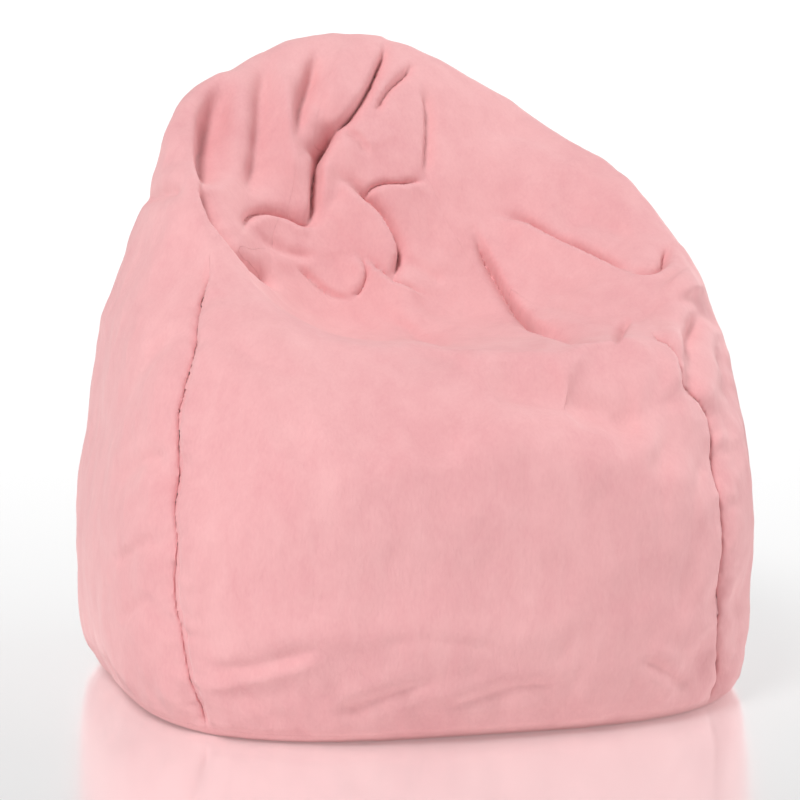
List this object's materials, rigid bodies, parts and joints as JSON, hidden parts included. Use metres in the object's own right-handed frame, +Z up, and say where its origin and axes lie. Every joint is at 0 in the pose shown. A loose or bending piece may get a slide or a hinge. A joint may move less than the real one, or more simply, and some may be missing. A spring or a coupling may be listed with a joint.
{
  "type": "bean bag chair",
  "caption": "Soft bean bag chair with a scooped seat and a raised back: panelled plush cover with a back zip, inner liner and bead filling.",
  "frame": {"origin": "on the floor, at the centre of the bag's outline seen from above", "axes": "+Z up; the seat opens towards -Y, so the sitter faces -Y; +X is to the right of someone looking at the front"},
  "size_m": [0.82, 0.7826, 0.7851],
  "materials": {
    "plush": "soft brushed short-pile plush",
    "pink_tape": "woven polyester zip tape",
    "pink_coil": "nylon coil",
    "pink_enamel": "enamelled zinc slider",
    "liner": "smooth woven polyester",
    "white_coil": "nylon coil",
    "beads": "expanded polystyrene beads",
    "label": "satin ribbon"
  },
  "bodies": {
    "bag": {"cover_front_panel": "plush", "cover_left_panel": "plush", "cover_right_panel": "plush", "cover_base_panel": "plush", "cover_zip_tape_left": "pink_tape", "cover_zip_coil_left": "pink_coil", "cover_zip_tape_right": "pink_tape", "cover_zip_coil_right": "pink_coil", "cover_zip_top_stop": "pink_coil", "cover_zip_bottom_stop": "pink_coil", "cover_care_label": "label", "liner_front_panel": "liner", "liner_left_panel": "liner", "liner_right_panel": "liner", "liner_base_panel": "liner", "liner_zip_tape_left": "liner", "liner_zip_coil_left": "white_coil", "liner_zip_tape_right": "liner", "liner_zip_coil_right": "white_coil", "liner_zip_top_stop": "white_coil", "liner_zip_bottom_stop": "white_coil", "bead_filling": "beads"},
    "cover_slider": {"cover_zip_slider": "pink_enamel"},
    "cover_pull": {"cover_zip_pull": "pink_enamel"},
    "liner_slider": {"liner_zip_slider": "white_coil"}
  },
  "joints": [
    {"name": "cover_zip_slide", "type": "slide", "parent": "bag", "child": "cover_slider", "axis": [0, 0, -1], "range_m": [0, 0.346]},
    {"name": "cover_pull_hinge", "type": "hinge", "parent": "cover_slider", "child": "cover_pull", "pos_m": [-0.03, 0.3727, 0.4231], "axis": [1, 0, 0], "range_deg": [0, 170]},
    {"name": "liner_zip_slide", "type": "slide", "parent": "bag", "child": "liner_slider", "axis": [0, 0, -1], "range_m": [0, 0.35]}
  ]
}
